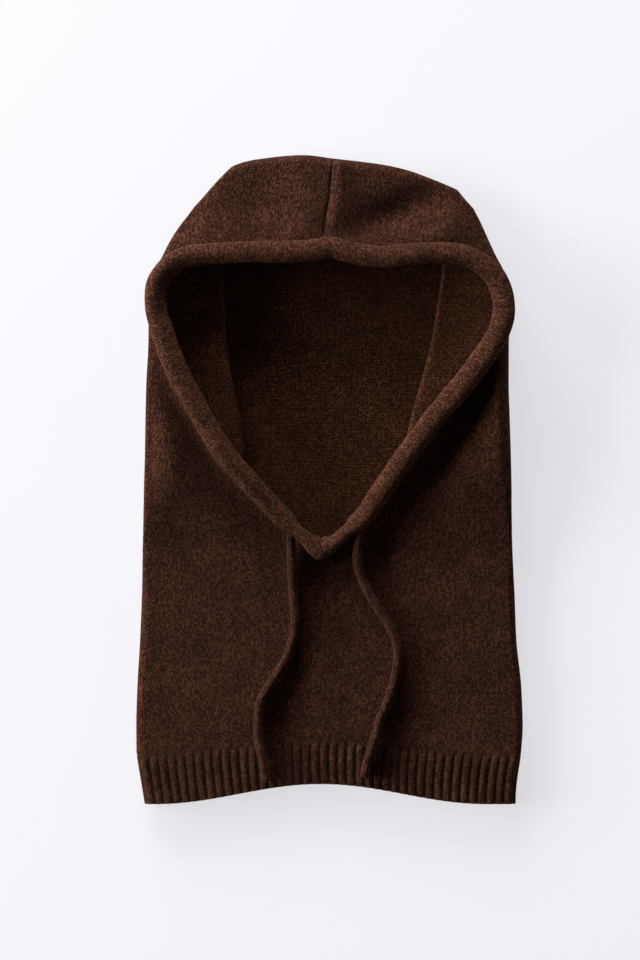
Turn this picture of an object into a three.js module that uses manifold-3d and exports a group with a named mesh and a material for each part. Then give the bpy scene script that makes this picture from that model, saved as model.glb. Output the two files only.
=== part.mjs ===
// Knit hood with a drawcord, lying on its back with the face opening up.
// Millimetres. X runs across the hood, Y from the ribbed hem to the crown, Z up from the surface.
// The origin is below the middle of the hood, on the surface that it lies on.

import * as THREE from 'three';
import { mergeVertices } from 'three/addons/utils/BufferGeometryUtils.js';
import Module from 'manifold-3d';

const wasm = await Module();
wasm.setup();

// Knitted fabric
const WALL = 2.5;
const CLEARANCE = 0.3;
const BACK_HEIGHT = WALL / 2;

// Rolled casing round the face, and the cord in it
const CASING_HEIGHT = 12.4;
const CASING_WALL = 2.3;
const CASING_SIDES = 10;
const CASING_RINGS = 44;
const RIM_SAMPLES = 180;
const CASING_SEAT = 4.6;
const TIP_LEAN_LENGTH = 13;
const CORD_DIAMETER = 7;
const CORD_SIDES = 8;
const CORD_PASSAGE = 0.5;
const LEFT_EXIT = 35.5;
const RIGHT_EXIT = 44.2;
const FACE_GAP = 0.5;
const CORD_EASE = 0.3;

// Side tucks, where the fabric folds in between the front and the back
const LOWER_PLY = 5.6;
const UPPER_PLY = 9.5;
const LEFT_RIDGE = 11.3;
const LEFT_ROLL = 3;
const RIGHT_ROLL = 8;
const EDGE_ROUND = 20;

// Points round one section: side folds, plies of a tuck, and the front and back between them
const FOLD_STEPS = 4;
const LOWER_STEPS = 1;
const UPPER_STEPS = 2;
const OUTER_STEPS = 3;
const MIDDLE_STEPS = 8;

// Front layer: how far off the rim its climb to the casing starts, below the brow and above it,
// and where it sinks beside the casing
const ARM_REACH = 7;
const BROW_REACH = 28;
const SINK_NEAR = 8;
const SINK_FAR_LEFT = 46;
const SINK_FAR_RIGHT = 68;
const SIDES_PART = 30;
const BROW_START = 140;
const BROW_END = 176;
const FOLDS_FROM = 3;
const FOLDS_FULL = 12;

// Cutter of the face opening
const OPENING_DOME = 26;
const OPENING_DOME_REACH = 9;
const OPENING_TOP = 60;

// Hem rib
const RIB_COUNT = 86;
const RIB_RELIEF = 0.4;
const HEM_ARCH_MIDDLE = -0.05;
const HEM_ARCH_HALF = 0.893;

// Colours and roughness of the wool
const BROWN = 0x3a2319;
const RIB_BROWN = 0x36211a;
const CASING_BROWN = 0x452b20;
const WOOL_ROUGHNESS = 0.95;

// Names the columns of a table, and gives one object for each row.
function table(columns, rows) {
  return rows.map((row) => Object.fromEntries(row.map((value, i) => [columns[i], value])));
}

// Sections from the rib up to the crown. y is the height of the side edges, and rise how far the
// middle lies above them. left and right are the outline, foldLeft and foldRight the inner folds
// of the tucks, and tuck says how far they are folded in. innerLeft and innerRight follow the face
// opening, front is the height of the front layer, and step is how far the front's left edge
// lies inside the back's. plyLeft and plyRight are the heights of the upper ply at the outline, and
// low is the height of the front layer beside the casing, where it sinks.
const SECTIONS = table(
  [
    'y', 'rise', 'left', 'right', 'innerLeft', 'innerRight', 'foldLeft', 'foldRight',
    'tuck', 'front', 'step', 'plyLeft', 'plyRight', 'low',
  ],
  [
    [-197, 9, -139.2, 138.2, -60, 55, -60, 55, 0, 9.4, 0, 9.5, 9.5, 9.4],
    [-178, 8, -139.4, 139.4, -56, 51, -60, 55, 0, 9.8, 0, 9.5, 9.5, 9.8],
    [-150, 6, -138.6, 138.4, -50, 45, -60, 55, 0, 10, 0, 9.5, 9.5, 10],
    [-115, 3, -136.6, 134.8, -42, 37, -60, 55, 0, 10, 0, 9.5, 9.5, 10],
    [-80, 1.5, -135.2, 133.4, -32, 27, -60, 55, 0, 10.2, 0, 9.5, 9.5, 10.1],
    [-52, 0, -134.6, 131.8, -20, 16, -60, 55, 0.08, 10.8, 0, 9.5, 9.5, 10.3],
    [-30, 0, -134, 131.2, -30, 24, -60, 55, 0.35, 14.4, 0, 9.5, 9.5, 11.4],
    [-5, 0, -133.4, 130.8, -54, 45, -61, 55, 0.75, 20.4, 0, 9.5, 9.5, 13.4],
    [20, 0, -132.8, 130.2, -76, 58, -62.5, 55.5, 1, 25, 0, 9.5, 9.5, 13.9],
    [45, 0, -132.4, 129.4, -91, 75, -65.5, 60, 1, 26.6, 0, 9.5, 9.5, 14],
    [70, 0, -131.8, 128.6, -105, 96, -70.8, 67, 1, 27, 0, 9.5, 10.5, 14.8],
    [95, 0, -130.4, 128.6, -115, 114.5, -74.8, 73.5, 1, 26.4, 0, 10.5, 13.5, 17],
    [115, 0, -130, 129.2, -120, 119, -76.3, 77.3, 1, 25, 0, 12, 16, 19.5],
    [133, 0, -129.6, 129.4, -120, 119, -77, 80, 1, 23, 0, 12.5, 16.5, 21.4],
    [149, 0, -126.6, 125.4, -112, 110, -77.3, 82.2, 1, 20.4, 0.5, 12.5, 16, 20],
    [161, 0, -120.8, 119.4, -98, 96, -77.5, 83, 1, 18, 1.5, 11.5, 14, 18],
    [172.8, 0, -114.8, 114.1, -90, 88, -77.5, 83, 0.8, 15.8, 2.5, 10.5, 12, 15.8],
    [184, 0, -107.4, 109.2, -82, 82, -76, 82, 0.5, 14, 3, 9.5, 9.5, 14],
    [194.4, 0, -99, 104, -74, 76, -73, 79, 0.2, 12.4, 2.5, 9.5, 9.5, 12.4],
  ],
);

// Crown sections above the last one of those: share of the way to the top outline.
const CROWN_SHARES = [0.3, 0.58, 0.8, 0.91, 0.975, 1];
const CROWN_TOP = { y: 207.8, rise: 25.2, left: -86, right: 92.5, innerLeft: -60, innerRight: 66 };
const CROWN_COLUMNS = ['y', 'left', 'right', 'innerLeft', 'innerRight'];
const CROWN_ROUND = 0.83;
const CROWN_FOLD = 5;

// Top outline of the crown: place from the left end to the right, and share of the rise.
const CROWN_ARCH = table(
  ['at', 'rise'],
  [
    [-1, 0], [-0.9, 0.39], [-0.8, 0.71], [-0.62, 0.88], [-0.25, 1],
    [0, 0.9], [0.37, 0.74], [0.57, 0.59], [0.8, 0.3], [1, 0],
  ],
);

// Middle line of the casing, from the tip of the V up the left arm, across the brow and down again.
const RIM = table(
  ['x', 'y', 'z'],
  [
    [-6.2, -49.9, 17], [-14, -45, 17.2], [-21.5, -38.4, 17.6], [-32, -28.6, 18.2], [-44.3, -15.4, 20.4],
    [-61.9, 3.6, 24.4], [-77.4, 22.3, 26.4], [-97.6, 56.6, 27.4], [-108.4, 76.3, 27.6], [-118.6, 103, 27.4],
    [-124.2, 124, 27], [-123.6, 138.5, 26.7], [-119.3, 147.3, 26.5], [-113.3, 153.7, 26.5], [-102, 159.4, 26.5],
    [-62.3, 163, 27.4], [-28.4, 163.1, 28.3], [-9.2, 164.8, 28.8], [2.3, 166.2, 29], [10, 163.9, 28.8],
    [19.6, 161.6, 28.5], [38, 159.6, 28], [58, 161.4, 27.7], [78, 162.6, 27.3], [94, 161.2, 26.8],
    [107, 155.8, 26.6], [117.6, 146.2, 26.6], [123.2, 134, 26.8], [124.6, 122, 27], [121, 106, 27.3],
    [98.3, 72, 27.5], [73.4, 42.6, 26.8], [46, 5.2, 23.4], [32.1, -15.4, 19.1], [24.2, -26.6, 18],
    [10.8, -38.6, 17.5], [2.5, -45.6, 17.2], [-6.2, -49.9, 17],
  ],
);

// Width of the casing, by how far along it the tip of the V is.
const CASING_WIDTHS = table(
  ['fromTip', 'width'],
  [
    [0, 13.8], [3, 15.2], [6.5, 14.2], [12, 10.8], [24, 10.2], [32, 14.6],
    [70, 15], [120, 15.8], [180, 16.6], [260, 15.6], [400, 15.6],
  ],
);

// Soft dents and swellings of the front layer: middle, reach along and across, turn, and height.
const FOLDS = table(
  ['x', 'y', 'along', 'across', 'turn', 'height'],
  [
    [46, 190, 44, 13, 24, -6.6],
    [84, 178, 30, 11, 20, 3],
    [9, 204, 34, 9, 88, 2],
    [-18, 196, 12, 30, 0, 2.6],
    [-52, 190, 12, 30, -6, -1.6],
    [-66, -46, 30, 16, -52, 2],
    [-30, -58, 22, 14, -40, 1.4],
    [70, -110, 40, 60, 20, 1.2],
    [116, -100, 90, 20, 90, 3],
    [-70, -125, 34, 22, 30, -0.7],
    [-8, -120, 14, 60, 4, 1.4],
    [-118, -110, 14, 60, 0, -0.5],
  ],
);

// Rib band below the sections: outline and rise of each edge.
const RIB_ROWS = table(
  ['y', 'rise', 'left', 'right', 'front'],
  [
    [-197 - CLEARANCE, 9, -139.2, 138.2, 9.8],
    [-213, 11.4, -136.4, 135.6, 9.8],
    [-233.3, 14.4, -133, 133, 9.4],
  ],
);

// Free ends of the drawcord, from inside the casing to the blunt tip.
const LEFT_CORD = table(
  ['x', 'y', 'z'],
  [
    [-33, -27.7, 18.3], [-31.8, -28.9, 18.2], [-29.6, -31.4, 18.4], [-28.3, -34.4, 18.6],
    [-27.7, -38, 18.7], [-27.6, -47, 18.2], [-27, -63, 17.4], [-26, -81, 15.9],
    [-24.8, -105, 15.5], [-30.2, -126.7, 15.4], [-40, -143.3, 15.3], [-49.3, -159, 15.2],
    [-51.1, -171, 15.2], [-50.8, -186.5, 15.2], [-48.2, -201, 15.8], [-45.1, -216.7, 15.9],
  ],
);
const RIGHT_CORD = table(
  ['x', 'y', 'z'],
  [
    [27.2, -22.4, 18.4], [26.1, -24, 18.3], [24.7, -26.7, 18.1], [23.7, -30, 18.2],
    [23, -33.4, 18.3], [21.6, -40, 18.4], [20.6, -47, 17.8], [20, -57.6, 16.8],
    [21.3, -64.6, 16.2], [28.3, -81.4, 15.6], [36, -93.6, 15.6], [44, -106.6, 15.6],
    [48.8, -119.5, 15.6], [47.9, -139, 15.5], [43.4, -155.5, 15.3], [37, -171, 15.2],
    [32.5, -186.5, 15.2], [27.7, -201, 15.8], [24.8, -213.8, 15.9],
  ],
);
const CORD_STEP = 15;

// Material of a knitted piece.
function knit(colour) {
  return new THREE.MeshStandardMaterial({ color: colour, roughness: WOOL_ROUGHNESS, metalness: 0 });
}

function mix(a, b, share) {
  return a + (b - a) * share;
}

function smooth(from, to, value) {
  const share = Math.min(Math.max((value - from) / (to - from), 0), 1);
  return share * share * (3 - 2 * share);
}

const RIM_CURVE = new THREE.CatmullRomCurve3(
  RIM.map((row) => new THREE.Vector3(row.x, row.y, row.z)),
  false,
  'centripetal',
);
const RIM_POINTS = RIM_CURVE.getSpacedPoints(RIM_SAMPLES);

// Whether a place in plan lies inside the middle line of the casing.
function insideOpening(x, y) {
  let inside = false;
  for (let i = 1; i < RIM_POINTS.length; i += 1) {
    const a = RIM_POINTS[i - 1];
    const b = RIM_POINTS[i];
    if (a.y > y !== b.y > y && x < mix(a.x, b.x, (y - a.y) / (b.y - a.y))) inside = !inside;
  }
  return inside;
}

// The nearest point of the rim in plan, and how far off it lies.
function nearestRim(x, y) {
  let nearest = RIM_POINTS[0];
  let distance = Infinity;
  for (const point of RIM_POINTS) {
    const gap = Math.hypot(point.x - x, point.y - y);
    if (gap < distance) {
      distance = gap;
      nearest = point;
    }
  }
  return { z: nearest.z, distance };
}

// Sum of the soft folds at a place.
function foldHeight(x, y) {
  let height = 0;
  for (const fold of FOLDS) {
    const angle = THREE.MathUtils.degToRad(fold.turn);
    const along = (x - fold.x) * Math.cos(angle) + (y - fold.y) * Math.sin(angle);
    const across = (y - fold.y) * Math.cos(angle) - (x - fold.x) * Math.sin(angle);
    height += fold.height * Math.exp(-((along / fold.along) ** 2) - (across / fold.across) ** 2);
  }
  return height;
}

// Height of the front layer's middle: it climbs from its own level to the seat of the casing.
// Inside the opening it rises to a dome, which is cut away.
function frontHeight(x, y, row) {
  const rim = nearestRim(x, y);
  const seat = rim.z - CASING_SEAT;
  if (insideOpening(x, y)) return mix(seat, OPENING_DOME, smooth(0, OPENING_DOME_REACH, rim.distance));
  const far = mix(SINK_FAR_LEFT, SINK_FAR_RIGHT, smooth(-SIDES_PART, SIDES_PART, x));
  const level = mix(row.low, row.front, smooth(SINK_NEAR, far, rim.distance));
  const besideArm = Math.exp(-((rim.distance / ARM_REACH) ** 2));
  const aboveBrow = Math.exp(-rim.distance / BROW_REACH);
  const climb = mix(besideArm, aboveBrow, smooth(BROW_START, BROW_END, y));
  const free = smooth(FOLDS_FROM, FOLDS_FULL, rim.distance);
  return mix(level, seat, climb) + foldHeight(x, y) * free;
}

// Share of the rise across a section, for the arched hem and for the crown.
function hemArch(at) {
  return Math.cos((Math.min(Math.abs(at - HEM_ARCH_MIDDLE) / HEM_ARCH_HALF, 1) * Math.PI) / 2) ** 2;
}

function crownArch(at) {
  const next = CROWN_ARCH.findIndex((row) => row.at >= at && row.at > -1);
  const b = CROWN_ARCH[Math.max(next, 1)];
  const a = CROWN_ARCH[Math.max(next, 1) - 1];
  return mix(a.rise, b.rise, (at - a.at) / (b.at - a.at));
}

// Half circle in x and z, from below to above, round a middle.
function halfTurn(x, z, radius, side, steps) {
  const points = [];
  for (let i = 0; i <= steps; i += 1) {
    const angle = -Math.PI / 2 + (Math.PI * i) / steps;
    points.push([x - side * radius * Math.cos(angle), z + radius * Math.sin(angle)]);
  }
  return points;
}

function between(a, b, steps) {
  const points = [];
  for (let i = 1; i < steps; i += 1) points.push([mix(a[0], b[0], i / steps), mix(a[1], b[1], i / steps)]);
  return points;
}

// One side of a section from the back layer up to the front layer. side is 1 on the left, -1 on
// the right. A tuck of 0 is one round fold, and 1 has two plies folded in to x = fold.
function sideFold(row, { edge, fold, side, step, ridge, ply, roll }) {
  const outline = edge + (side * WALL) / 2;
  const lowerRadius = (LOWER_PLY - BACK_HEIGHT) / 2;
  const turnRadius = (ridge - LOWER_PLY) / 2;
  const upperRadius = Math.min((row.front - ply) / 2, roll);
  const upperEdge = outline + side * (step + upperRadius);
  const lowerEdge = outline + side * lowerRadius;
  const lower = halfTurn(lowerEdge, BACK_HEIGHT + lowerRadius, lowerRadius, side, FOLD_STEPS);
  const turn = halfTurn(fold - side * turnRadius, LOWER_PLY + turnRadius, turnRadius, -side, FOLD_STEPS);
  const upper = halfTurn(upperEdge, ply + upperRadius, upperRadius, side, FOLD_STEPS);
  const tucked = [
    ...lower,
    ...between(lower.at(-1), turn[0], LOWER_STEPS),
    ...turn,
    ...between(turn.at(-1), upper[0], UPPER_STEPS),
    ...upper,
  ];
  const radius = (row.front - BACK_HEIGHT) / 2;
  const plain = halfTurn(outline + side * radius, BACK_HEIGHT + radius, radius, side, tucked.length - 1);
  const points = tucked.map(([x, z], i) => [mix(plain[i][0], x, row.tuck), mix(plain[i][1], z, row.tuck)]);
  // The outermost point stays on the outline while the tuck opens
  const shift = outline - side * Math.min(...points.map(([x]) => side * x));
  return points.map(([x, z]) => [x + shift, z]);
}

// Places across a layer from its left end to its right one, gathered at the face opening.
function across(row, left, right) {
  const stops = [left, row.innerLeft, row.innerRight, right];
  const steps = [OUTER_STEPS, MIDDLE_STEPS, OUTER_STEPS];
  const places = [];
  steps.forEach((count, zone) => {
    for (let i = 0; i < count; i += 1) places.push(mix(stops[zone], stops[zone + 1], i / count));
  });
  return [...places, right];
}

// The middle surface of the fabric round one section, as a closed ring of points.
function section(row, arch, closing = 1) {
  const left = sideFold(row, {
    edge: row.left, fold: row.foldLeft, side: 1, step: row.step,
    ridge: LEFT_RIDGE, ply: row.plyLeft, roll: LEFT_ROLL,
  });
  const right = sideFold(row, {
    edge: row.right, fold: row.foldRight, side: -1, step: 0,
    ridge: UPPER_PLY, ply: row.plyRight, roll: RIGHT_ROLL,
  });
  const middle = (row.left + row.right) / 2;
  const half = (row.right - row.left) / 2;
  const rise = (x) => row.y + row.rise * arch(Math.min(Math.max((x - middle) / half, -1), 1));
  const back = across(row, left[0][0], right[0][0]).map((x) => [x, BACK_HEIGHT]);
  const front = across(row, left.at(-1)[0], right.at(-1)[0]).map((x, i, all) => {
    const onLeft = i < all.length / 2;
    const edgeHeight = onLeft ? left.at(-1)[1] : right.at(-1)[1];
    const fromEdge = onLeft ? (x - all[0]) / EDGE_ROUND : (all.length - 1 - i) / OUTER_STEPS;
    const height = frontHeight(x, rise(x), row);
    return [x, mix(edgeHeight, height, Math.min(fromEdge, 1))];
  });
  const ring = [...back.slice(0, -1), ...right, ...front.reverse().slice(1, -1), ...left.reverse()];
  const fold = BACK_HEIGHT + CROWN_FOLD;
  return ring.slice(0, -1).map(([x, z]) => {
    const shut = mix(fold, z, closing);
    return new THREE.Vector3(x, rise(x), shut);
  });
}

// Joins rings of equal length into side faces, and the last ring to the first on a closed path.
function loft(rings, closedPath) {
  const count = rings[0].length;
  const positions = rings.flat().flatMap((point) => [point.x, point.y, point.z]);
  const faces = [];
  const last = closedPath ? rings.length : rings.length - 1;
  for (let r = 0; r < last; r += 1) {
    for (let i = 0; i < count; i += 1) {
      const a = r * count + i;
      const b = r * count + ((i + 1) % count);
      const c = ((r + 1) % rings.length) * count + i;
      const d = ((r + 1) % rings.length) * count + ((i + 1) % count);
      faces.push(a, b, d, a, d, c);
    }
  }
  const geometry = new THREE.BufferGeometry();
  geometry.setAttribute('position', new THREE.Float32BufferAttribute(positions, 3));
  geometry.setIndex(faces);
  return geometry;
}

function centre(ring) {
  return ring.reduce((sum, point) => sum.add(point), new THREE.Vector3()).divideScalar(ring.length);
}

// Side faces of rings with a fan of faces over both ends.
function capped(rings) {
  const geometry = loft(rings, false);
  const positions = [...geometry.attributes.position.array];
  const faces = [...geometry.index.array];
  const count = rings[0].length;
  const addFan = (start, turned) => {
    const middle = positions.length / 3;
    positions.push(...centre(rings[start / count]).toArray());
    for (let i = 0; i < count; i += 1) {
      const a = start + i;
      const b = start + ((i + 1) % count);
      faces.push(...(turned ? [b, a, middle] : [a, b, middle]));
    }
  };
  addFan(0, true);
  addFan((rings.length - 1) * count, false);
  geometry.setAttribute('position', new THREE.Float32BufferAttribute(positions, 3));
  geometry.setIndex(faces);
  return geometry;
}

// Welds equal points, drops the faces that this closes, and leaves position alone.
function weld(geometry) {
  geometry.deleteAttribute('normal');
  geometry.deleteAttribute('uv');
  const welded = mergeVertices(geometry, 1e-3);
  const index = welded.index.array;
  const faces = [];
  for (let i = 0; i < index.length; i += 3) {
    const [a, b, c] = [index[i], index[i + 1], index[i + 2]];
    if (a !== b && b !== c && c !== a) faces.push(a, b, c);
  }
  welded.setIndex(faces);
  return welded;
}

function volume(geometry) {
  const { position } = geometry.attributes;
  const at = (i) => new THREE.Vector3().fromBufferAttribute(position, geometry.index.array[i]);
  let sum = 0;
  for (let i = 0; i < geometry.index.count; i += 3) sum += at(i).dot(at(i + 1).cross(at(i + 2)));
  return sum / 6;
}

function flip(geometry) {
  const index = geometry.index.array;
  for (let i = 0; i < index.length; i += 3) [index[i], index[i + 1]] = [index[i + 1], index[i]];
  return geometry;
}

// A solid for cutting and joining, with its faces turned outwards.
function solid(geometry) {
  const closed = weld(geometry);
  if (volume(closed) < 0) flip(closed);
  return new wasm.Manifold(
    new wasm.Mesh({
      numProp: 3,
      vertProperties: Float32Array.from(closed.attributes.position.array),
      triVerts: Uint32Array.from(closed.index.array),
    }),
  );
}

function mesh(name, body, material) {
  const parts = body.getMesh();
  const geometry = new THREE.BufferGeometry();
  geometry.setAttribute('position', new THREE.BufferAttribute(Float32Array.from(parts.vertProperties), 3));
  geometry.setIndex(new THREE.BufferAttribute(Uint32Array.from(parts.triVerts), 1));
  geometry.computeVertexNormals();
  const made = new THREE.Mesh(geometry, material);
  made.name = name;
  return made;
}

// A wall of fabric: the middle surface moved half a wall to each side and joined round its open end.
function wall(rings) {
  const count = rings[0].length;
  const middle = weld(loft(rings, false));
  if (openVolume(middle, rings) < 0) flip(middle);
  middle.computeVertexNormals();
  const points = middle.attributes.position;
  const normals = middle.attributes.normal;
  const shell = [];
  for (const side of [WALL / 2, -WALL / 2]) {
    for (let i = 0; i < points.count; i += 1) {
      shell.push(points.getX(i) + side * normals.getX(i));
      shell.push(i < count ? points.getY(i) : points.getY(i) + side * normals.getY(i));
      shell.push(points.getZ(i) + side * normals.getZ(i));
    }
  }
  const faces = [...middle.index.array];
  const outerFaces = faces.length;
  for (let i = 0; i < outerFaces; i += 3) {
    faces.push(faces[i + 1] + points.count, faces[i] + points.count, faces[i + 2] + points.count);
  }
  faces.push(...mouth(middle));
  const geometry = new THREE.BufferGeometry();
  geometry.setAttribute('position', new THREE.Float32BufferAttribute(shell, 3));
  geometry.setIndex(faces);
  return geometry;
}

// Signed volume of an open surface of rings, closed by a fan over its first ring.
function openVolume(surface, rings) {
  const index = [...surface.index.array];
  const points = [...surface.attributes.position.array, ...centre(rings[0]).toArray()];
  const middle = surface.attributes.position.count;
  for (const [a, b] of openEdges(surface)) index.push(b, a, middle);
  const closed = new THREE.BufferGeometry();
  closed.setAttribute('position', new THREE.Float32BufferAttribute(points, 3));
  closed.setIndex(index);
  return volume(closed);
}

// Edges that only one face uses.
function openEdges(surface) {
  const edges = new Map();
  const index = surface.index.array;
  for (let i = 0; i < index.length; i += 3) {
    for (let k = 0; k < 3; k += 1) {
      const a = index[i + k];
      const b = index[i + ((k + 1) % 3)];
      const back = `${b},${a}`;
      if (edges.has(back)) edges.delete(back);
      else edges.set(`${a},${b}`, [a, b]);
    }
  }
  return [...edges.values()];
}

// Faces that join the outer and inner wall round the open end.
function mouth(surface) {
  const shift = surface.attributes.position.count;
  return openEdges(surface).flatMap(([a, b]) => [b, a, a + shift, b, a + shift, b + shift]);
}

// Width of the casing at a distance from the tip of the V.
function casingWidth(fromTip) {
  const next = CASING_WIDTHS.findIndex((row, i) => i > 0 && row.fromTip >= fromTip);
  const b = CASING_WIDTHS[next];
  const a = CASING_WIDTHS[next - 1];
  return mix(a.width, b.width, (fromTip - a.fromTip) / (b.fromTip - a.fromTip));
}

// Rings across a path round the casing. They lean to the middle plane of the V near its tip.
// halfWidthAt gives half the width at a distance from the tip.
function casingRings(halfWidthAt, halfHeight, sides, places) {
  const length = RIM_CURVE.getLength();
  const start = RIM_CURVE.getTangentAt(0);
  const end = RIM_CURVE.getTangentAt(1).negate();
  const halfAngle = Math.acos(Math.min(Math.max(start.dot(end), -1), 1)) / 2;
  return places.map((place) => {
    const middle = RIM_CURVE.getPointAt(place);
    const tangent = RIM_CURVE.getTangentAt(place);
    const out = new THREE.Vector3(-tangent.y, tangent.x, 0).normalize().negate();
    const up = new THREE.Vector3().crossVectors(out, tangent).normalize();
    if (up.z < 0) up.negate();
    const fromTip = Math.min(place, 1 - place) * length;
    const lean = Math.max(1 - fromTip / TIP_LEAN_LENGTH, 0) / Math.tan(halfAngle);
    const towards = tangent.clone().multiplyScalar(place < 0.5 ? lean : -lean);
    return Array.from({ length: sides }, (_, i) => {
      const angle = ((i + 0.5) / sides) * Math.PI * 2;
      const sideways = Math.cos(angle) * halfWidthAt(fromTip);
      return middle
        .clone()
        .addScaledVector(out, sideways)
        .addScaledVector(towards, sideways)
        .addScaledVector(up, Math.sin(angle) * halfHeight);
    });
  });
}

const RIM_PLACES = Array.from({ length: CASING_RINGS }, (_, i) => i / CASING_RINGS);

function casingBody(extra) {
  const halfWidthAt = (fromTip) => casingWidth(fromTip) / 2 + extra;
  const rings = casingRings(halfWidthAt, CASING_HEIGHT / 2 + extra, CASING_SIDES, RIM_PLACES);
  return solid(loft(rings, true));
}

// A cord along its points.
function cordCurve(rows) {
  const points = rows.map((row) => new THREE.Vector3(row.x, row.y, row.z));
  return new THREE.CatmullRomCurve3(points, false, 'centripetal');
}

function cordBody(curve, diameter, steps) {
  const outline = new THREE.Shape();
  for (let i = 0; i < CORD_SIDES; i += 1) {
    const angle = ((i + 0.5) / CORD_SIDES) * Math.PI * 2;
    const place = [(Math.cos(angle) * diameter) / 2, (Math.sin(angle) * diameter) / 2];
    if (i === 0) outline.moveTo(...place);
    else outline.lineTo(...place);
  }
  return solid(new THREE.ExtrudeGeometry(outline, { steps, extrudePath: curve, curveSegments: 1 }));
}

// The stretch of the drawcord inside the casing, from one exit round the face to the other.
function hiddenCord() {
  const from = (LEFT_EXIT + FACE_GAP) / RIM_CURVE.getLength();
  const to = 1 - (RIGHT_EXIT + FACE_GAP) / RIM_CURVE.getLength();
  const places = [from, ...RIM_PLACES.filter((place) => place > from * 1.2 && place < to * 0.99), to];
  const radius = CORD_DIAMETER / 2 - CORD_EASE;
  return solid(capped(casingRings(() => radius, radius, CORD_SIDES, places)));
}

// Sections of the crown between the last row of the table and the top outline.
function crownSections() {
  const base = SECTIONS.at(-1);
  return CROWN_SHARES.map((share) => {
    const row = { ...base, rise: CROWN_TOP.rise * share, tuck: base.tuck * (1 - smooth(0, 0.6, share)) };
    for (const name of CROWN_COLUMNS) row[name] = mix(base[name], CROWN_TOP[name], share);
    const turn = Math.max((share - CROWN_ROUND) / (1 - CROWN_ROUND), 0);
    const closing = Math.sqrt(Math.max(1 - turn * turn, 0));
    row.step = base.step * (1 - share);
    return section(row, crownArch, closing);
  });
}

function hoodShell() {
  const rings = SECTIONS.map((row) => section(row, row.y < 0 ? hemArch : crownArch));
  const fabric = solid(wall([...rings, ...crownSections()]));
  const outline = new THREE.Shape(RIM_POINTS.slice(0, -1).map(({ x, y }) => new THREE.Vector2(x, y)));
  const opening = new THREE.ExtrudeGeometry(outline, { depth: OPENING_TOP, bevelEnabled: false });
  const places = opening.attributes.position;
  for (let i = 0; i < places.count; i += 1) {
    const below = nearestRim(places.getX(i), places.getY(i)).z - CASING_SEAT - WALL;
    if (places.getZ(i) < below) places.setZ(i, below);
  }
  return fabric.subtract(solid(opening)).subtract(casingBody(CLEARANCE));
}

// The hem's rib, a band whose wall zigzags between ridges and furrows.
function hemRib() {
  const loops = RIB_ROWS.map((row) => {
    const full = { ...SECTIONS[0], ...row };
    const ring = section(full, hemArch);
    const path = new THREE.CatmullRomCurve3(ring, true, 'centripetal', 0.5);
    path.arcLengthDivisions = 1200;
    return Array.from({ length: RIB_COUNT * 2 }, (_, i) => {
      const place = i / (RIB_COUNT * 2);
      const tangent = path.getTangentAt(place);
      const out = new THREE.Vector3(tangent.z, 0, -tangent.x).normalize();
      const relief = i % 2 ? RIB_RELIEF : -RIB_RELIEF;
      const point = path.getPointAt(place);
      point.z += RIB_RELIEF;
      return { point, out, relief };
    });
  });
  const offset = (loop, distance) =>
    loop.map(({ point, out, relief }) => {
      const moved = point.clone().addScaledVector(out, distance + relief);
      moved.z = Math.max(moved.z, 0);
      return moved;
    });
  const outer = loops.map((loop) => offset(loop, WALL / 2));
  const inner = loops.map((loop) => offset(loop, -WALL / 2)).reverse();
  return solid(loft([...outer, ...inner], true));
}

function steps(curve) {
  return Math.round(curve.getLength() / CORD_STEP);
}

const leftCurve = cordCurve(LEFT_CORD);
const rightCurve = cordCurve(RIGHT_CORD);
const passage = CORD_DIAMETER + 2 * CORD_PASSAGE;
const casing = casingBody(0)
  .subtract(casingBody(-CASING_WALL))
  .subtract(cordBody(leftCurve, passage, steps(leftCurve)))
  .subtract(cordBody(rightCurve, passage, steps(rightCurve)));

const hood = new THREE.Group();
hood.add(mesh('hood_shell', hoodShell(), knit(BROWN)));
hood.add(mesh('face_casing', casing, knit(CASING_BROWN)));
hood.add(mesh('hem_rib', hemRib(), knit(RIB_BROWN)));
hood.add(mesh('drawcord_in_casing', hiddenCord(), knit(CASING_BROWN)));
hood.add(mesh('drawcord_left', cordBody(leftCurve, CORD_DIAMETER, steps(leftCurve)), knit(CASING_BROWN)));
hood.add(mesh('drawcord_right', cordBody(rightCurve, CORD_DIAMETER, steps(rightCurve)), knit(CASING_BROWN)));

export default hood;
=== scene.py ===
"""Knit hood with a drawcord, lying on its back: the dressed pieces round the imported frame."""

import math

import bmesh
import bpy
import numpy as np
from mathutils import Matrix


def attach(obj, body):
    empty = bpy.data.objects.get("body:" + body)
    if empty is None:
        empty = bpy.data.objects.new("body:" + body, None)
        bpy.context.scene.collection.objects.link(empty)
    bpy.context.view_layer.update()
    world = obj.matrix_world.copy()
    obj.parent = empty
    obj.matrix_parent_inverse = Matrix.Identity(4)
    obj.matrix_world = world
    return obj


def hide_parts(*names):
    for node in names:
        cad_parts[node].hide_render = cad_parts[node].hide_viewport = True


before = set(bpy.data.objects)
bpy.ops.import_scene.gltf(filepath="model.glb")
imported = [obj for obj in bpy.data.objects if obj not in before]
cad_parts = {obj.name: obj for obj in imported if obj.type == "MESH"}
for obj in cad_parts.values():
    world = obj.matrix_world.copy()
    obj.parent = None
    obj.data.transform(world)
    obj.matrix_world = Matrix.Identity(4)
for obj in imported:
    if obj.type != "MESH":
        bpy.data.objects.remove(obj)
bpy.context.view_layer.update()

bl_info = {
    "name": "Knit hood",
    "version": (1, 0, 0),
    "blender": (4, 5, 0),
    "location": "View3D > Sidebar > Knit hood",
    "description": "Builds the knitted hood, its casing, rib and drawcord, and its stage",
    "category": "Add Mesh",
}

MM = 0.001

# Layers of the folded fabric, in millimetres
BACK_HEIGHT = 1.25
LOWER_PLY = 5.6
UPPER_PLY = 9.5
LEFT_RIDGE = 11.3
CROWN_FOLD = 5

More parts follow.
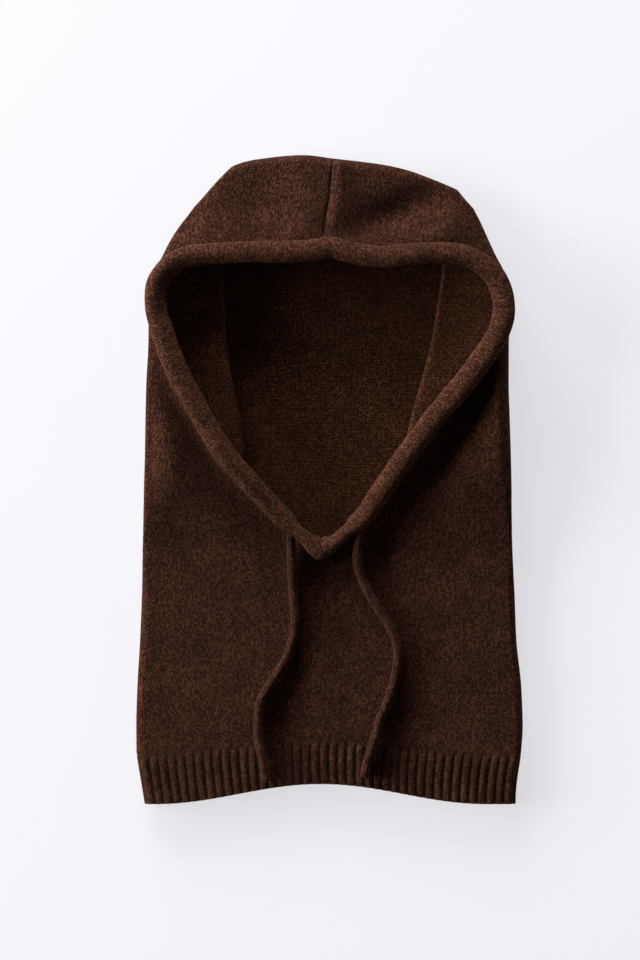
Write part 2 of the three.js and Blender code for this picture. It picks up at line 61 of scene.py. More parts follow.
# How the front layer climbs to the casing and sinks beside it, in millimetres
CASING_SEAT = 4.6
TIP_LEAN_LENGTH = 13
ARM_REACH = 7
BROW_REACH = 28
BROW_FROM = (140, 176)
SINK_NEAR = 8
SINK_FAR = (46, 68)
SIDES_PART = 30
FOLDS_FREE = (3, 12)

# How both edges of the front layer round over, in millimetres. Beside the casing the front
# is held at the height of its seat, from HELD_FROM inwards of the left edge.
LEFT_ROLL = 3
RIGHT_ROLL = 8
ROUND_LEFT = 20
HELD_FROM = 6

# Share of the crown's rise before it rounds over, and where the hem lifts across the middle
CROWN_ROUND = 0.83
HEM_ARCH_MIDDLE = -0.05
HEM_ARCH_HALF = 0.893

# Places of the cord's two exits along the rim from the tip of the V, and room beside them
LEFT_EXIT = 35.5
RIGHT_EXIT = 44.2
EXIT_ROOM = 3

# Mesh steps, in millimetres or counts
GRID = 3.0
FOLD_STEPS = 8
PLY_STEPS = 20
CROWN_STEPS = 10
RISE_STEPS = 11
RIM_STEP = 0.5
CASING_STEP = 1.5
CASING_SIDES = 40
CORD_STEP = 1.0
CORD_SIDES = 36
RIB_STATIONS = 31
RIB_GRID = 2.0
STEPS_PER_RIB = 12
PLACES_AT_ONCE = 2000

# Width of a layer in millimetres, and the band of it that is finer for the crown seam
LAYER_WIDTH = 270
SEAM_BAND = (0.45, 0.55)
SEAM_STEPS = 25

# Points this near the rim are moved onto it, and those further inside by grid steps are left out
RIM_SNAP = 0.2
RIM_CUT = 1.1

# Edges sharper than this stay sharp
SMOOTH_ANGLE = math.radians(55)

# Sections from the rib up to the crown, in millimetres: place of the side edges, rise of the
# middle, outline, where the right edge starts to round over, inner folds of the tucks, share of
# the tuck, front height, step of the left edge, heights of the upper ply, and front height
# beside the casing.
SECTIONS = np.array([
    [-197, 9, -139.2, 138.2, 55, -60, 55, 0, 9.4, 0, 9.5, 9.5, 9.4],
    [-178, 8, -139.4, 139.4, 51, -60, 55, 0, 9.8, 0, 9.5, 9.5, 9.8],
    [-150, 6, -138.6, 138.4, 45, -60, 55, 0, 10, 0, 9.5, 9.5, 10],
    [-115, 3, -136.6, 134.8, 37, -60, 55, 0, 10, 0, 9.5, 9.5, 10],
    [-80, 1.5, -135.2, 133.4, 27, -60, 55, 0, 10.2, 0, 9.5, 9.5, 10.1],
    [-52, 0, -134.6, 131.8, 16, -60, 55, 0.08, 10.8, 0, 9.5, 9.5, 10.3],
    [-30, 0, -134, 131.2, 24, -60, 55, 0.35, 14.4, 0, 9.5, 9.5, 11.4],
    [-5, 0, -133.4, 130.8, 45, -61, 55, 0.75, 20.4, 0, 9.5, 9.5, 13.4],
    [20, 0, -132.8, 130.2, 58, -62.5, 55.5, 1, 25, 0, 9.5, 9.5, 13.9],
    [45, 0, -132.4, 129.4, 75, -65.5, 60, 1, 26.6, 0, 9.5, 9.5, 14],
    [70, 0, -131.8, 128.6, 96, -70.8, 67, 1, 27, 0, 9.5, 10.5, 14.8],
    [95, 0, -130.4, 128.6, 114.5, -74.8, 73.5, 1, 26.4, 0, 10.5, 13.5, 17],
    [115, 0, -130, 129.2, 119, -76.3, 77.3, 1, 25, 0, 12, 16, 19.5],
    [133, 0, -129.6, 129.4, 119, -77, 80, 1, 23, 0, 12.5, 16.5, 21.4],
    [149, 0, -126.6, 125.4, 110, -77.3, 82.2, 1, 20.4, 0.5, 12.5, 16, 20],
    [161, 0, -120.8, 119.4, 96, -77.5, 83, 1, 18, 1.5, 11.5, 14, 18],
    [172.8, 0, -114.8, 114.1, 88, -77.5, 83, 0.8, 15.8, 2.5, 10.5, 12, 15.8],
    [184, 0, -107.4, 109.2, 82, -76, 82, 0.5, 14, 3, 9.5, 9.5, 14],
    [194.4, 0, -99, 104, 76, -73, 79, 0.2, 12.4, 2.5, 9.5, 9.5, 12.4],
])
COLUMNS = ["y", "rise", "left", "right", "inner_right", "fold_left", "fold_right",
           "tuck", "front", "step", "ply_left", "ply_right", "low"]
CROWN_TOP = {"y": 207.8, "left": -86, "right": 92.5, "inner_right": 66}
CROWN_RISE = 25.2
CROWN_ARCH = np.array([[-1, 0], [-0.9, 0.39], [-0.8, 0.71], [-0.62, 0.88], [-0.25, 1],
                       [0, 0.9], [0.37, 0.74], [0.57, 0.59], [0.8, 0.3], [1, 0]])

# Middle line of the casing, from the tip of the V up the left arm, across the brow and down again
RIM = np.array([
    [-6.2, -49.9, 17], [-14, -45, 17.2], [-21.5, -38.4, 17.6], [-32, -28.6, 18.2],
    [-44.3, -15.4, 20.4], [-61.9, 3.6, 24.4], [-77.4, 22.3, 26.4], [-97.6, 56.6, 27.4],
    [-108.4, 76.3, 27.6], [-118.6, 103, 27.4],
    [-124.2, 124, 27], [-123.6, 138.5, 26.7], [-119.3, 147.3, 26.5], [-113.3, 153.7, 26.5],
    [-102, 159.4, 26.5], [-62.3, 163, 27.4], [-28.4, 163.1, 28.3], [-9.2, 164.8, 28.8],
    [2.3, 166.2, 29],
    [10, 163.9, 28.8], [19.6, 161.6, 28.5], [38, 159.6, 28], [58, 161.4, 27.7], [78, 162.6, 27.3],
    [94, 161.2, 26.8], [107, 155.8, 26.6], [117.6, 146.2, 26.6], [123.2, 134, 26.8],
    [124.6, 122, 27],
    [121, 106, 27.3], [98.3, 72, 27.5], [73.4, 42.6, 26.8], [46, 5.2, 23.4], [32.1, -15.4, 19.1],
    [24.2, -26.6, 18], [10.8, -38.6, 17.5], [2.5, -45.6, 17.2], [-6.2, -49.9, 17],
])

# Width of the casing, by how far along it the tip of the V is
CASING_WIDTHS = np.array([
    [0, 13.8], [3, 15.2], [6.5, 14.2], [12, 10.8], [24, 10.2], [32, 14.6],
    [70, 15], [120, 15.8], [180, 16.6], [260, 15.6], [400, 15.6],
])

# Section of the casing by the share of the way round from the tip: lean of the crest to its
# outer side, squareness (1 is an ellipse, less is flatter on top) and height of its upper half
# against the lower one
CASING_SHAPES = np.array([
    [0, 0.1, 0.9, 1], [0.06, 0.2, 1, 1.1], [0.15, 0.35, 1.05, 1.3], [0.3, 0.35, 1.05, 1.2],
    [0.4, 0, 0.85, 1], [0.5, 0, 0.8, 1], [0.62, -0.05, 0.8, 1], [0.72, 0.08, 0.72, 1],
    [0.85, 0.08, 0.65, 1], [0.95, 0.08, 0.65, 1], [1, 0.1, 0.9, 1],
])

# Soft dents and swellings of the front: middle, reach along and across, turn in degrees, height
FOLDS = np.array([
    [46, 190, 44, 13, 24, -6.6],
    [84, 178, 30, 11, 20, 3.0],
    [9, 204, 34, 9, 88, 2.0],
    [-18, 196, 12, 30, 0, 2.6],
    [-52, 190, 12, 30, -6, -1.6],
    [-66, -46, 30, 16, -52, 2.0],
    [-30, -58, 22, 14, -40, 1.4],
    [70, -110, 40, 60, 20, 1.2],
    [116, -100, 90, 20, 90, 3.0],
    [-70, -125, 34, 22, 30, -0.7],
    [-8, -120, 14, 60, 4, 1.4],
    [-118, -110, 14, 60, 0, -0.5],
])

# Seam up the crown: places along it, where it starts to show, depth and half width of its
# groove, and height, half width and offset of the turned edge beside it
CROWN_SEAM = np.array([
    [-4.5, 170], [-4.3, 175], [-3.2, 185.8], [0.4, 204.5], [2.5, 230.4], [2.5, 236],
])
SEAM_SHOWN = (170, 176)
SEAM_GROOVE = (-1.5, 1.6)
SEAM_EDGE = (1.3, 4, 5.5)

# Rib band: height of the side edges, rise of the middle, outline, and front height
RIB_ROWS = np.array([
    [-196.6, 9, -139.2, 138.2, 9.8],
    [-213, 11.4, -136.4, 135.6, 9.8],
    [-233.3, 14.4, -133, 133, 9.4],
])

# Rib: sharpness and width of a rib against its furrow, length over which the ribs rise below
# the shell, lift off the surface, and how much thinner than the shell the band is
RIB_PROFILE = (1.6, 0.35)
RIB_RISE = 5
RIB_LIFT = 0.4
RIB_THINNER = 0.6

# Waves that keep the roll of the casing uneven: size, number round the face and start
CASING_WAVES = [(0.018, 9, 1), (0.012, 23, 0), (0.01, 41, 2)]
CASING_WIDTH = 15

# Cord: waves of its thickness as size, length and start, where it swells to full width past
# its exit, rounding of the end, stitch columns and their relief, and ease inside the casing
CORD_WAVES = [(0.02, 5.1, 0), (0.015, 2.3, 1)]
CORD_SWELL = (4, 40)
CORD_END = 2.2
CORD_END_CUT = 0.55
CORD_COLUMNS = 6
CORD_WALE = 2.6
CORD_RELIEF = (0.16, 0.06)
CORD_EASE = 0.0006

# Free ends of the drawcord, from inside the casing to the blunt tip
LEFT_CORD = np.array([
    [-33, -27.7, 18.3], [-31.8, -28.9, 18.2], [-29.6, -31.4, 18.4], [-28.3, -34.4, 18.6],
    [-27.7, -38, 18.7], [-27.6, -47, 18.2], [-27, -63, 17.4], [-26, -81, 15.9],
    [-24.8, -105, 15.5], [-30.2, -126.7, 15.4], [-40, -143.3, 15.3], [-49.3, -159, 15.2],
    [-51.1, -171, 15.2], [-50.8, -186.5, 15.2], [-48.2, -201, 15.8], [-45.1, -216.7, 15.9],
])
RIGHT_CORD = np.array([
    [27.2, -22.4, 18.4], [26.1, -24, 18.3], [24.7, -26.7, 18.1], [23.7, -30, 18.2],
    [23, -33.4, 18.3], [21.6, -40, 18.4], [20.6, -47, 17.8], [20, -57.6, 16.8],
    [21.3, -64.6, 16.2], [28.3, -81.4, 15.6], [36, -93.6, 15.6], [44, -106.6, 15.6],
    [48.8, -119.5, 15.6], [47.9, -139, 15.5], [43.4, -155.5, 15.3], [37, -171, 15.2],
    [32.5, -186.5, 15.2], [27.7, -201, 15.8], [24.8, -213.8, 15.9],
])


def linear(code):
    """Linear colour of an sRGB hex value."""
    parts = [int(code[i:i + 2], 16) / 255 for i in (1, 3, 5)]
    return tuple(p / 12.92 if p <= 0.04045 else ((p + 0.055) / 1.055) ** 2.4 for p in parts)


def mix(a, b, share):
    return a + (b - a) * share


def smooth(start, end, value):
    share = np.clip((value - start) / (end - start), 0, 1)
    return share * share * (3 - 2 * share)


def through(places, values, at):
    """Smooth line through the rows of values, which never swings past them."""
    gaps = np.diff(places)[:, None]
    slopes = np.diff(values, axis=0) / gaps
    tangents = np.zeros_like(values, dtype=float)
    product = slopes[1:] * slopes[:-1]
    total = np.where(product > 0, slopes[1:] + slopes[:-1], 1)
    tangents[1:-1] = np.where(product > 0, 2 * product / total, 0)
    tangents[0], tangents[-1] = slopes[0], slopes[-1]
    i = np.clip(np.searchsorted(places, at) - 1, 0, len(gaps) - 1)
    gap = gaps[i]
    t = ((at - places[i]) / gap[:, 0])[:, None]
    return ((2 * t**3 - 3 * t**2 + 1) * values[i] + (t**3 - 2 * t**2 + t) * gap * tangents[i]
            + (3 * t**2 - 2 * t**3) * values[i + 1] + (t**3 - t**2) * gap * tangents[i + 1])


def curve(points, steps=40):
    """Centripetal Catmull-Rom curve through the points."""
    ends = [2 * points[0] - points[1], 2 * points[-1] - points[-2]]
    p = np.vstack([ends[0], points, ends[1]])
    line = []
    for i in range(len(points) - 1):
        a, b, c, d = p[i:i + 4]
        gap_a, gap_b, gap_c = (max(np.linalg.norm(v), 1e-9) ** 0.5 for v in (b - a, c - b, d - c))
        start = ((b - a) / gap_a - (c - a) / (gap_a + gap_b) + (c - b) / gap_b) * gap_b
        end = ((c - b) / gap_b - (d - b) / (gap_b + gap_c) + (d - c) / gap_c) * gap_b
        for t in np.linspace(0, 1, steps, endpoint=False):
            line.append(b + start * t + (3 * (c - b) - 2 * start - end) * t**2
                        + (2 * (b - c) + start + end) * t**3)
    return np.array([*line, points[-1]])


def length_along(line):
    return np.concatenate([[0], np.cumsum(np.linalg.norm(np.diff(line, axis=0), axis=1))])


def even(line, step):
    """The same line with points about step apart."""
    along = length_along(line)
    places = np.linspace(0, along[-1], max(int(round(along[-1] / step)), 2) + 1)
    return np.stack([np.interp(places, along, line[:, k]) for k in range(3)], axis=1)


RIM_LINE = even(curve(RIM), RIM_STEP)


def inside_opening(x, y):
    """Whether places in plan lie inside the middle line of the casing."""
    inside = np.zeros(x.shape, bool)
    for (ax, ay, _), (bx, by, _) in zip(RIM_LINE[:-1], RIM_LINE[1:]):
        if ay != by:
            crosses = ((ay > y) != (by > y)) & (x < ax + (bx - ax) * (y - ay) / (by - ay))
            inside ^= crosses
    return inside


def nearest_rim(x, y):
    """Index of the nearest point of the rim in plan, and how far off it lies."""
    flat = np.stack([x.ravel(), y.ravel()], axis=1)
    index = np.zeros(len(flat), int)
    for start in range(0, len(flat), PLACES_AT_ONCE):
        part = flat[start:start + PLACES_AT_ONCE]
        gaps = ((part[:, None, :] - RIM_LINE[None, :, :2]) ** 2).sum(2)
        index[start:start + PLACES_AT_ONCE] = gaps.argmin(1)
    distance = np.linalg.norm(flat - RIM_LINE[index, :2], axis=1)
    return index.reshape(x.shape), distance.reshape(x.shape)


def fold_height(x, y):
    height = np.zeros_like(x)
    for fx, fy, along, across, turn, high in FOLDS:
        angle = math.radians(turn)
        p = (x - fx) * math.cos(angle) + (y - fy) * math.sin(angle)
        q = (y - fy) * math.cos(angle) - (x - fx) * math.sin(angle)
        height += high * np.exp(-((p / along) ** 2) - (q / across) ** 2)
    return height


def seam_height(x, y):
    """Groove of the crown seam with the turned edge that stands beside it."""
    middle = np.interp(y, CROWN_SEAM[:, 1], CROWN_SEAM[:, 0])
    depth, half_width = SEAM_GROOVE
    groove = depth * np.exp(-(((x - middle) / half_width) ** 2))
    high, half_edge, off = SEAM_EDGE
    edge = high * np.exp(-(((x - middle - off) / half_edge) ** 2))
    return (groove + edge) * smooth(*SEAM_SHOWN, y)


def front_height(x, y, level, low):
    """Height of the front layer: it climbs from its own level to the seat of the casing."""
    index, distance = nearest_rim(x, y)
    seat = RIM_LINE[index, 2] - CASING_SEAT
    inside = inside_opening(x, y)
    climb = mix(np.exp(-((distance / ARM_REACH) ** 2)), np.exp(-distance / BROW_REACH),
                smooth(*BROW_FROM, y))
    free = smooth(*FOLDS_FREE, distance)
    sink_far = mix(*SINK_FAR, smooth(-SIDES_PART, SIDES_PART, x))
    level = mix(low, level, smooth(SINK_NEAR, sink_far, distance))
    height = mix(level, seat, climb) + fold_height(x, y) * free + seam_height(x, y)
    return np.where(inside, seat, height), index, np.where(inside, -distance, distance)


def hem_arch(at):
    share = np.minimum(np.abs(at - HEM_ARCH_MIDDLE) / HEM_ARCH_HALF, 1)
    return np.cos(share * math.pi / 2) ** 2


def crown_arch(at):
    return through(CROWN_ARCH[:, 0], CROWN_ARCH[:, 1:], at.ravel()).reshape(at.shape)


def half_turn(x, z, radius, side, steps):
    """Half circles in x and z, from below to above."""
    angle = np.linspace(-math.pi / 2, math.pi / 2, steps + 1)[None, :]
    return x - side * radius * np.cos(angle), z + radius * np.sin(angle)


def between(a, b, steps):
    t = np.linspace(0, 1, steps + 1)[1:-1][None, :]
    ease = t * t * (3 - 2 * t)
    return mix(a[0][:, -1:], b[0][:, :1], t), mix(a[1][:, -1:], b[1][:, :1], ease)


def side_fold(row, edge, fold, side, step, ridge, ply, limit, wall):
    """One side of the sections, from the back layer up to the front layer."""
    outline = edge + side * wall / 2
    lower_radius = np.full_like(edge, (LOWER_PLY - BACK_HEIGHT) / 2)
    turn_radius = np.full_like(edge, (ridge - LOWER_PLY) / 2)
    upper_radius = np.minimum((row["front"] - ply) / 2, limit)
    upper_edge = outline + side * (step + upper_radius)
    lower = half_turn(outline + side * lower_radius, BACK_HEIGHT + lower_radius, lower_radius,
                      side, FOLD_STEPS)
    turn = half_turn(fold - side * turn_radius, LOWER_PLY + turn_radius, turn_radius,
                     -side, FOLD_STEPS)
    upper = half_turn(upper_edge, ply + upper_radius, upper_radius, side, FOLD_STEPS)
    parts = [lower, between(lower, turn, PLY_STEPS), turn, between(turn, upper, PLY_STEPS), upper]
    x = np.hstack([part[0] for part in parts])
    z = np.hstack([part[1] for part in parts])
    radius = (row["front"] - BACK_HEIGHT) / 2
    steps = x.shape[1] - 1
    plain = half_turn(outline + side * radius, BACK_HEIGHT + radius, radius, side, steps)
    x, z = mix(plain[0], x, row["tuck"]), mix(plain[1], z, row["tuck"])
    # The fold's outer edge stays on the outline while the tuck opens
    return x + outline - side * (side * x).min(axis=1, keepdims=True), z


def across_shares(step):
    """Shares across a layer, closer together along the middle, where the seam runs."""
    start, end = SEAM_BAND
    count = int(round(start * LAYER_WIDTH / step))
    return np.concatenate([
        np.linspace(0, start, count, endpoint=False),
        np.linspace(start, end, SEAM_STEPS, endpoint=False),
        np.linspace(end, 1, count + 1),
    ])


def section_rings(row, arch, closing, wall, step):
    """Rings of the fabric's middle surface, with their places along and across the knitting."""
    left = side_fold(row, row["left"], row["fold_left"], 1, row["step"], LEFT_RIDGE,
                     row["ply_left"], LEFT_ROLL, wall)
    right = side_fold(row, row["right"], row["fold_right"], -1, 0, UPPER_PLY,
                      row["ply_right"], RIGHT_ROLL, wall)
    middle = (row["left"] + row["right"]) / 2
    half = (row["right"] - row["left"]) / 2

    def rise(x):
        return row["y"] + row["rise"] * arch(np.clip((x - middle) / half, -1, 1))

    shares = across_shares(step)[None, :]
    back_x = mix(left[0][:, :1], right[0][:, :1], shares)
    front_x = mix(left[0][:, -1:], right[0][:, -1:], shares)
    front_y = rise(front_x)
    height, index, distance = front_height(front_x, front_y, row["front"], row["low"])
    from_left = front_x - front_x[:, :1]
    rounded = np.sin(np.clip(from_left / ROUND_LEFT, 0, 1) * math.pi / 2)
    # Under the casing the front keeps the height of its seat, however near the edge is
    held = np.exp(-((np.maximum(distance, 0) / ARM_REACH) ** 2)) * smooth(0, HELD_FROM, from_left)
    right_edge = front_x[:, -1:]
    from_right = np.clip((right_edge - front_x) / (right_edge - row["inner_right"]), 0, 1)
    front_z = mix(left[1][:, -1:], height, np.maximum(rounded, held))
    front_z = mix(right[1][:, -1:], front_z, np.sin(from_right * math.pi / 2))
    back_z = np.full_like(back_x, BACK_HEIGHT)
    x = np.hstack([back_x[:, :-1], right[0], front_x[:, ::-1][:, 1:-1], left[0][:, ::-1][:, :-1]])
    z = np.hstack([back_z[:, :-1], right[1], front_z[:, ::-1][:, 1:-1], left[1][:, ::-1][:, :-1]])
    z = mix(BACK_HEIGHT + CROWN_FOLD, z, closing)
    flag = np.full_like(x, 99.0)
    start = back_x.shape[1] - 1 + right[0].shape[1] - 1
    flag[:, start:start + front_x.shape[1]] = distance[:, ::-1]
    near = np.zeros(x.shape, int)
    near[:, start:start + front_x.shape[1]] = index[:, ::-1]
    counts = (back_x.shape[1], right[0].shape[1], front_x.shape[1])
    return x, rise(x), z, flag, near, counts


def knit_places(x, y, z, counts):
    """Wale coordinate of each ring point, once counted from the front and once from the back."""
    back, fold, front = counts
    points = np.stack([x, y, z], axis=2)
    ahead = np.linalg.norm(np.roll(points, -1, axis=1) - points, axis=2)
    count = x.shape[1]
    from_back = x.copy()
    from_front = x.copy()
    for i in range(back - 1, back - 1 + fold - 1):
        from_back[:, i + 1] = from_back[:, i] + ahead[:, i]
    for i in range(count, count - (fold - 1), -1):
        from_back[:, i - 1] = from_back[:, i % count] - ahead[:, i - 1]
    first = back - 1 + fold - 1
    last = first + front - 1
    for i in range(first, back - 1, -1):
        from_front[:, i - 1] = from_front[:, i] + ahead[:, i - 1]
    for i in range(last, count):
        from_front[:, (i + 1) % count] = from_front[:, i] - ahead[:, i]
    return from_front, from_back


def piece_from(name, points, faces, uv):
    """Mesh object from points in millimetres, with its stitch map."""
    mesh = bpy.data.meshes.new(name)
    mesh.from_pydata((np.asarray(points) * MM).tolist(), [], faces)
    layer = mesh.uv_layers.new(name="Stitches")
    layer.data.foreach_set("uv", (np.asarray(uv, np.float32) * MM).ravel())
    mesh.update()
    piece = bpy.data.objects.new(name, mesh)
    bpy.context.scene.collection.objects.link(piece)
    return piece


def only(piece):
    """Selects one piece and nothing else."""
    bpy.ops.object.select_all(action="DESELECT")
    piece.select_set(True)
    bpy.context.view_layer.objects.active = piece


def outward(piece, merge=0.0):
    """Merges doubles and turns the faces outwards."""
    only(piece)
    bpy.ops.object.mode_set(mode="EDIT")
    bpy.ops.mesh.select_all(action="SELECT")
    if merge:
        bpy.ops.mesh.remove_doubles(threshold=merge)
        bpy.ops.mesh.dissolve_degenerate(threshold=merge)
        bpy.ops.mesh.select_all(action="SELECT")
    bpy.ops.mesh.normals_make_consistent(inside=False)
    bpy.ops.object.mode_set(mode="OBJECT")


def finish_piece(piece, node, materials):
    """Gives a piece its materials, puts it on the body and hides the solid that it stands for."""
    for material in materials:
        piece.data.materials.append(material)
    only(piece)
    bpy.ops.object.shade_smooth()
    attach(piece, "root")
    if node:
        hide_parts(node)
    return piece


def grid_faces(rows, count, closed_rows=False):
    """Quads between rings, and the ring and step of each face's corners."""
    last = rows if closed_rows else rows - 1
    r, i = np.meshgrid(np.arange(last), np.arange(count), indexing="ij")
    r, i = r.ravel(), i.ravel()
    next_r, next_i = (r + 1) % rows, (i + 1) % count
    faces = np.stack([r * count + i, r * count + next_i,
                      next_r * count + next_i, next_r * count + i], axis=1)
    corners_r = np.stack([r, r, r + 1, r + 1], axis=1)
    corners_i = np.stack([i, i + 1, i + 1, i], axis=1)
    return faces, corners_r, corners_i


def add(tree, kind, inputs=None, **settings):
    """Adds a node with its settings, values and links."""
    made = tree.nodes.new(kind)
    for name, value in settings.items():
        setattr(made, name, value)
    for key, value in (inputs or {}).items():
        if isinstance(value, bpy.types.NodeSocket):
            tree.links.new(value, made.inputs[key])
        else:
            made.inputs[key].default_value = value
    return made


# Stitches: scale and size of their wander, lean of the legs, and how far the legs stand out
WANDER_SCALE = 90.0
WANDER = 0.35
KNIT_LEGS = (1.3, 0.6)
PURL_LEGS = (0.35, 0.25)

# Heather of the wool: sizes of its fibres and of its patches in millimetres, share of the
# stitches' own tones, range that is stretched, power that keeps the dark fibres the more
# common, weight of the grain, painted shade in the furrows and painted light on the crests,
# range of the patches and relief
FIBRE = 1.2
PATCH = 22
STITCH_SHARE = 0.82
TONE_RANGE = (0.08, 0.92)
GRAIN_POWER = 1.8
GRAIN_WEIGHT = 0.76
RELIEF_SHADE = (-0.15, 0.2)
PATCH_TONES = (0.7, 1.3)
GRAIN_RELIEF = 0.9
SHEEN_TINT = "#b88468"


def knit_height(tree, wale, course, purl):
    """Height of the stitches at a place: columns of Vs outside, and rows of small bars inside."""
    stitches = add(tree, "ShaderNodeUVMap", uv_map="Stitches").outputs[0]
    drift = add(tree, "ShaderNodeTexNoise", {
        "Vector": stitches, "Scale": WANDER_SCALE, "Detail": 2.0})
    shift = add(tree, "ShaderNodeVectorMath", {0: drift.outputs["Color"], 1: (0.5, 0.5, 0.5)},
                operation="SUBTRACT")
    wander = add(tree, "ShaderNodeVectorMath", {0: shift.outputs[0], "Scale": wale * WANDER},
                 operation="SCALE")
    place = add(tree, "ShaderNodeVectorMath", {0: stitches, 1: wander.outputs[0]}, operation="ADD")
    legs_lean, weight = PURL_LEGS if purl else KNIT_LEGS
    split = add(tree, "ShaderNodeSeparateXYZ", {0: place.outputs[0]})
    across = add(tree, "ShaderNodeMath", {0: split.outputs["X"], 1: wale},
                 operation="DIVIDE").outputs[0]
    along = add(tree, "ShaderNodeMath", {0: split.outputs["Y"], 1: course},
                operation="DIVIDE").outputs[0]
    inside = add(tree, "ShaderNodeMath", {0: across}, operation="FRACT").outputs[0]
    centred = add(tree, "ShaderNodeMath", {0: inside, 1: 0.5}, operation="SUBTRACT").outputs[0]
    off = add(tree, "ShaderNodeMath", {0: centred}, operation="ABSOLUTE").outputs[0]
    lean = add(tree, "ShaderNodeMath", {0: off, 1: legs_lean}, operation="MULTIPLY").outputs[0]
    phase = add(tree, "ShaderNodeMath", {0: along, 1: lean}, operation="SUBTRACT").outputs[0]
    turn = add(tree, "ShaderNodeMath", {0: phase, 1: math.pi}, operation="MULTIPLY").outputs[0]
    wave = add(tree, "ShaderNodeMath", {0: turn}, operation="SINE").outputs[0]
    strand = add(tree, "ShaderNodeMath", {0: wave}, operation="ABSOLUTE").outputs[0]
    spread = add(tree, "ShaderNodeMath", {0: off, 1: 2 * math.pi},
                 operation="MULTIPLY").outputs[0]
    bend = add(tree, "ShaderNodeMath", {0: spread}, operation="SINE").outputs[0]
    legs = add(tree, "ShaderNodeMath", {0: bend, 1: weight, 2: 1 - weight},
               operation="MULTIPLY_ADD").outputs[0]
    height = add(tree, "ShaderNodeMath", {0: strand, 1: legs}, operation="MULTIPLY").outputs[0]
    leg = add(tree, "ShaderNodeMath", {0: across, 1: 2.0}, operation="MULTIPLY").outputs[0]
    column = add(tree, "ShaderNodeMath", {0: leg}, operation="FLOOR").outputs[0]
    row = add(tree, "ShaderNodeMath", {0: phase}, operation="FLOOR").outputs[0]
    cell = add(tree, "ShaderNodeCombineXYZ", {0: column, 1: row}).outputs[0]
    tone = add(tree, "ShaderNodeTexWhiteNoise", {"Vector": cell}, noise_dimensions="2D")
    return height, tone.outputs["Value"]


def wool(name, dark, light, wale, course, depth, purl=False, streak=1.0, sheen=0.1):
    """Brushed wool knit: heathered brown fibres, stitches in relief, painted shade in their furrows
    and a faint sheen.
    """
    material = bpy.data.materials.new(name)
    material.use_nodes = True
    tree = material.node_tree
    tree.nodes.clear()
    height, tone = knit_height(tree, wale, course, purl)
    stitches = add(tree, "ShaderNodeUVMap", uv_map="Stitches").outputs[0]
    # Fibres of several browns are spun together, so the colour varies from stitch to stitch
    along = add(tree, "ShaderNodeVectorMath", {0: stitches, 1: (1, streak, 1)},
                operation="MULTIPLY")
    fibres = add(tree, "ShaderNodeTexNoise", {
        "Vector": along.outputs[0], "Scale": 1 / (FIBRE * MM), "Detail": 2.0, "Roughness": 0.6})
    patches = add(tree, "ShaderNodeTexNoise", {
        "Vector": stitches, "Scale": 1 / (PATCH * MM), "Detail": 3.0, "Roughness": 0.6})
    mixed = add(tree, "ShaderNodeMix", {0: STITCH_SHARE, 2: fibres.outputs[0], 3: tone})
    spread = add(tree, "ShaderNodeMapRange", {
        0: mixed.outputs[0], 1: TONE_RANGE[0], 2: TONE_RANGE[1], 3: 0.0, 4: 1.0})
    grain = add(tree, "ShaderNodeMath", {0: spread.outputs[0], 1: GRAIN_POWER}, operation="POWER")
    lift = add(tree, "ShaderNodeMapRange", {
        0: patches.outputs[0], 1: 0.3, 2: 0.7, 3: PATCH_TONES[0], 4: PATCH_TONES[1]})
    # Painted shade and light: the colour darkens in the furrows between stitches and lightens on
    # their crests, following the height of the relief
    relief_shade = add(tree, "ShaderNodeMapRange", {
        0: height, 1: 0.0, 2: 0.8, 3: RELIEF_SHADE[0], 4: RELIEF_SHADE[1]})
    share = add(tree, "ShaderNodeMath", {
        0: grain.outputs[0], 1: GRAIN_WEIGHT, 2: relief_shade.outputs[0]}, operation="MULTIPLY_ADD")
    toned = add(tree, "ShaderNodeMath", {0: share.outputs[0], 1: lift.outputs[0]},
                operation="MULTIPLY")
    colour = add(tree, "ShaderNodeMix", {
        0: toned.outputs[0], 6: (*linear(dark), 1), 7: (*linear(light), 1)},
        data_type="RGBA", clamp_factor=True)
    rough = add(tree, "ShaderNodeMath", {0: grain.outputs[0], 1: GRAIN_RELIEF, 2: height},
                operation="MULTIPLY_ADD")
    bump = add(tree, "ShaderNodeBump", {
        "Height": rough.outputs[0], "Distance": depth * MM, "Strength": 1.0})
    shader = add(tree, "ShaderNodeBsdfPrincipled", {
        "Base Color": colour.outputs[2], "Roughness": 0.95, "IOR": 1.45, "Specular IOR Level": 0.06,
        "Sheen Weight": sheen, "Sheen Roughness": 0.42, "Sheen Tint": (*linear(SHEEN_TINT), 1),
        "Normal": bump.outputs[0]})
    add(tree, "ShaderNodeOutputMaterial", {"Surface": shader.outputs[0]})
    return material


class HoodSizes(bpy.types.PropertyGroup):
    """Sizes of the hood's pieces."""

    wall: bpy.props.FloatProperty(
        name="Fabric", description="Thickness of the knitted fabric", default=0.0025,
        min=0.001, max=0.004, unit="LENGTH")
    casing_height: bpy.props.FloatProperty(
        name="Casing height", description="Height of the rolled casing round the face",
        default=0.0124, min=0.008, max=0.018, unit="LENGTH")
    cord: bpy.props.FloatProperty(
        name="Cord", description="Diameter of the knitted drawcord", default=0.007,
        min=0.004, max=0.009, unit="LENGTH")
    rib_count: bpy.props.IntProperty(
        name="Ribs", description="Number of ribs round the hem", default=86, min=40, max=120)
    rib_relief: bpy.props.FloatProperty(
        name="Rib relief", description="Height of a rib over its furrow", default=0.0011,
        min=0.0005, max=0.003, unit="LENGTH")


class HoodColours(bpy.types.PropertyGroup):
    """Colours of the stage."""

    floor: bpy.props.FloatVectorProperty(
        name="Floor", description="Colour of the floor", subtype="COLOR", size=3,
        default=linear("#f2f1f5"), min=0, max=1)
    light: bpy.props.FloatVectorProperty(
        name="Light", description="Colour of the room's light", subtype="COLOR", size=3,
        default=linear("#fcfcff"), min=0, max=1)


